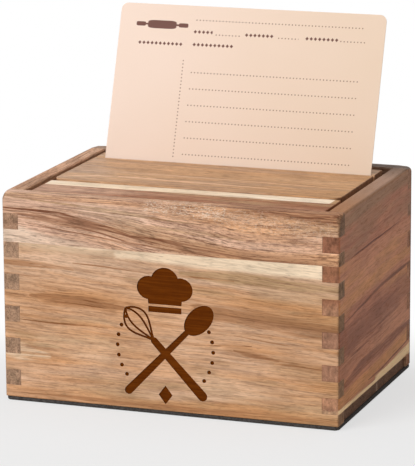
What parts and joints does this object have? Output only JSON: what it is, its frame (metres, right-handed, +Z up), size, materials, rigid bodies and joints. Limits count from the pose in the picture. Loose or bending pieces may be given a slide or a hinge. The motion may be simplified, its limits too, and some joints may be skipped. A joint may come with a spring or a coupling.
{
  "type": "recipe card box",
  "caption": "Wooden box that stores index cards behind a pin-hinged lid, with a slanted groove across the lid that stands one card up for reading.",
  "frame": {"origin": "on the table under the middle of the box, which is the bottom centre of the bounding box", "axes": "+X to the box's right, +Y to its back, +Z up"},
  "size_m": [0.154, 0.11, 0.1619],
  "materials": {
    "acacia_front_lower": "oiled satin, tan with brown grain streaks and a sapwood edge",
    "acacia_front_upper": "oiled satin, red-brown with wavy dark grain",
    "acacia_back_lower": "oiled satin, tan brown",
    "acacia_back_upper": "oiled satin, red-brown",
    "acacia_side_lower": "oiled satin, dark red-brown",
    "acacia_side_upper": "oiled satin, dark brown",
    "acacia_base": "oiled satin, dark brown",
    "felt_pad": "pressed wool felt, dark grey",
    "acacia_rail": "oiled satin, red-brown",
    "acacia_sapwood": "oiled satin, pale cream sapwood",
    "acacia_lid": "oiled satin, golden brown with fine straight grain",
    "pin_steel": "plain ground steel rod",
    "card_stock": "uncoated card, pale pink cream"
  },
  "bodies": {
    "box": {"front_lower_board": "acacia_front_lower", "front_upper_board": "acacia_front_upper", "back_lower_board": "acacia_back_lower", "back_upper_board": "acacia_back_upper", "left_lower_board": "acacia_side_lower", "left_upper_board": "acacia_side_upper", "right_lower_board": "acacia_side_lower", "right_upper_board": "acacia_side_upper", "base_board": "acacia_base", "base_pad": "felt_pad", "rail_front_stave": "acacia_rail", "rail_rear_stave": "acacia_sapwood", "hinge_pin_left": "pin_steel", "hinge_pin_right": "pin_steel"},
    "lid": {"lid_board": "acacia_lid"},
    "card": {"recipe_card": "card_stock"}
  },
  "joints": [
    {"name": "lid_hinge", "type": "hinge", "parent": "box", "child": "lid", "pos_m": [0, 0.0407, 0.0883], "axis": [-1, 0, 0], "range_deg": [0, 100]},
    {"name": "card_lift", "type": "slide", "parent": "lid", "child": "card", "axis": [0, 0.3305, 0.9438], "range_m": [0, 0.008]}
  ]
}
